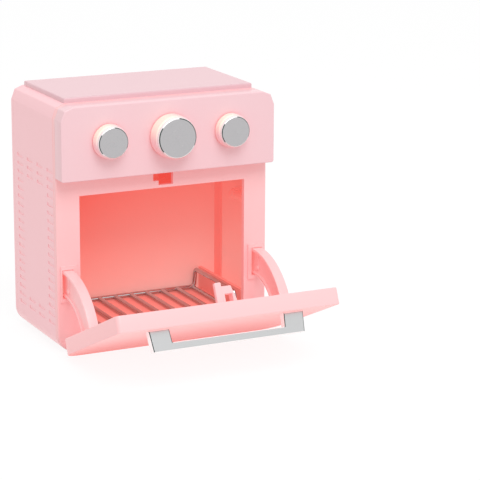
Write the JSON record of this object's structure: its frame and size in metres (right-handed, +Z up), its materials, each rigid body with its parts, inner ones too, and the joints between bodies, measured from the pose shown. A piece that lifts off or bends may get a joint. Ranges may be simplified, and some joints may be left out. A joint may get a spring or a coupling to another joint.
{
  "type": "toy oven",
  "caption": "Toy counter-top oven in pink plastic, with a drop-down door on curved stays, turning knobs, a bar handle and a lift-out wire rack.",
  "frame": {"origin": "middle of the body's footprint, on the surface that the oven stands on", "axes": "+X to the right as seen from the front, -Y to the front, +Z up"},
  "size_m": [0.1114, 0.1328, 0.1221],
  "materials": {
    "pink_body": "smooth moulded pale pink",
    "pink_frame": "smooth moulded pink",
    "pink_cavity": "plain moulded deeper pink",
    "pink_door": "smooth moulded pale pink",
    "chrome_trim": "bright metallised plastic",
    "rack_wire": "bright drawn wire",
    "steel": "plain steel"
  },
  "bodies": {
    "housing": {"outer_shell": "pink_body", "top_plate": "pink_body", "control_panel": "pink_body", "front_frame": "pink_frame", "rear_cover": "pink_cavity", "cavity_floor": "pink_cavity", "cavity_ceiling": "pink_cavity", "latch_keeper": "pink_frame", "hinge_pins": "steel", "panel_screws": "steel", "frame_screws": "steel", "rear_screws": "steel", "keeper_screws": "steel"},
    "door": {"door_shell": "pink_door", "door_liner": "pink_door", "door_hook": "pink_door", "stay_arm_left": "pink_door", "stay_arm_right": "pink_door", "door_handle": "chrome_trim", "handle_screws": "steel", "door_screws": "steel"},
    "rack": {"rack_frame": "rack_wire", "rack_wires": "rack_wire"},
    "knob_left": {"knob_collar_left": "pink_body", "knob_cap_left": "chrome_trim", "knob_shaft_left": "pink_frame", "knob_clip_left": "steel"},
    "knob_middle": {"knob_collar_middle": "pink_body", "knob_cap_middle": "chrome_trim", "knob_shaft_middle": "pink_frame", "knob_clip_middle": "steel"},
    "knob_right": {"knob_collar_right": "pink_body", "knob_cap_right": "chrome_trim", "knob_shaft_right": "pink_frame", "knob_clip_right": "steel"}
  },
  "joints": [
    {"name": "door_hinge", "type": "hinge", "parent": "housing", "child": "door", "pos_m": [0, -0.0256, 0.0054], "axis": [-1, 0, 0], "range_deg": [0, 65.9]},
    {"name": "rack_lift", "type": "slide", "parent": "housing", "child": "rack", "axis": [0, 0, 1], "range_m": [0, 0.04]},
    {"name": "knob_left_turn", "type": "hinge", "parent": "housing", "child": "knob_left", "pos_m": [-0.0314, -0.03275, 0.1028], "axis": [0, -1, 0], "continuous": true},
    {"name": "knob_middle_turn", "type": "hinge", "parent": "housing", "child": "knob_middle", "pos_m": [0, -0.03275, 0.1028], "axis": [0, -1, 0], "continuous": true},
    {"name": "knob_right_turn", "type": "hinge", "parent": "housing", "child": "knob_right", "pos_m": [0.0314, -0.03275, 0.1028], "axis": [0, -1, 0], "continuous": true}
  ]
}
